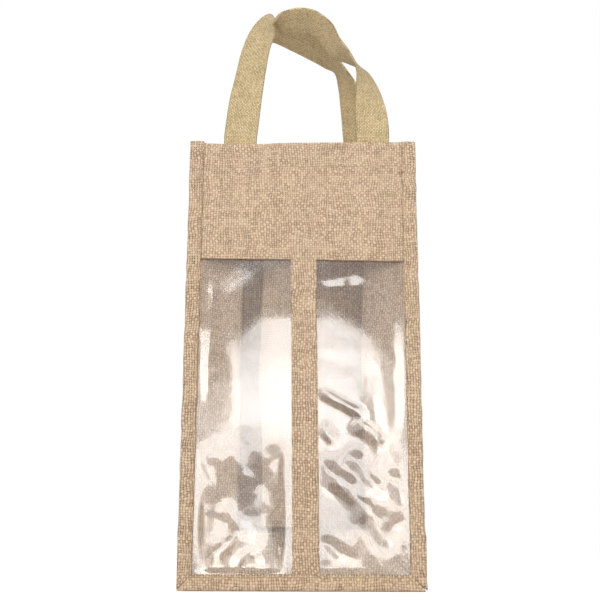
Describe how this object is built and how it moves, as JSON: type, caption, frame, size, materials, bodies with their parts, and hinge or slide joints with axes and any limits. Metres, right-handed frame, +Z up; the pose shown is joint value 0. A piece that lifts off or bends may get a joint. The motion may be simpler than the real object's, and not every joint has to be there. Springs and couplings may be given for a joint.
{
  "type": "wine gift bag",
  "caption": "Tall flat jute bag for two wine bottles with a clear front window, a jute centre strip, inward-folded sides and base, and two webbing handles.",
  "frame": {"origin": "on the floor, at the middle of the bag's footprint", "axes": "+Z up, +X to the viewer's right when the window is looked at, the window faces -Y"},
  "size_m": [0.2, 0.0566, 0.52],
  "materials": {
    "jute_panel": "coarse plain-woven jute, matt",
    "jute_binding": "coarse plain-woven jute, matt",
    "webbing": "close-woven cotton webbing, matt",
    "thread": "sewing thread",
    "clear_film": "clear soft film, glossy and crinkled"
  },
  "bodies": {
    "back": {"back_panel": "jute_panel", "back_hem": "jute_panel", "back_left_binding": "jute_binding", "back_right_binding": "jute_binding", "back_bottom_binding": "jute_binding", "back_binding_thread": "thread", "back_handle_ends": "webbing", "back_handle_thread": "thread", "left_gusset": "jute_panel", "right_gusset": "jute_panel", "left_gusset_hem": "jute_panel", "right_gusset_hem": "jute_panel", "base": "jute_panel", "divider": "jute_panel"},
    "front": {"front_top_panel": "jute_panel", "front_hem": "jute_panel", "window_film": "clear_film", "center_strip": "jute_binding", "front_left_binding": "jute_binding", "front_right_binding": "jute_binding", "front_bottom_binding": "jute_binding", "front_binding_thread": "thread", "front_handle_ends": "webbing", "front_handle_thread": "thread"},
    "front_handle": {"front_handle": "webbing"},
    "back_handle": {"back_handle": "webbing"}
  },
  "joints": [
    {"name": "fold_flat", "type": "slide", "parent": "back", "child": "front", "axis": [0, 1, 0], "range_m": [0, 0.036], "deforming": ["left_gusset", "right_gusset", "left_gusset_hem", "right_gusset_hem", "base", "divider"]},
    {"name": "front_handle_swing", "type": "hinge", "parent": "front", "child": "front_handle", "pos_m": [0, -0.026, 0.385], "axis": [1, 0, 0], "range_deg": [0, 170]},
    {"name": "back_handle_swing", "type": "hinge", "parent": "back", "child": "back_handle", "pos_m": [0, 0.026, 0.385], "axis": [-1, 0, 0], "range_deg": [0, 170]}
  ]
}
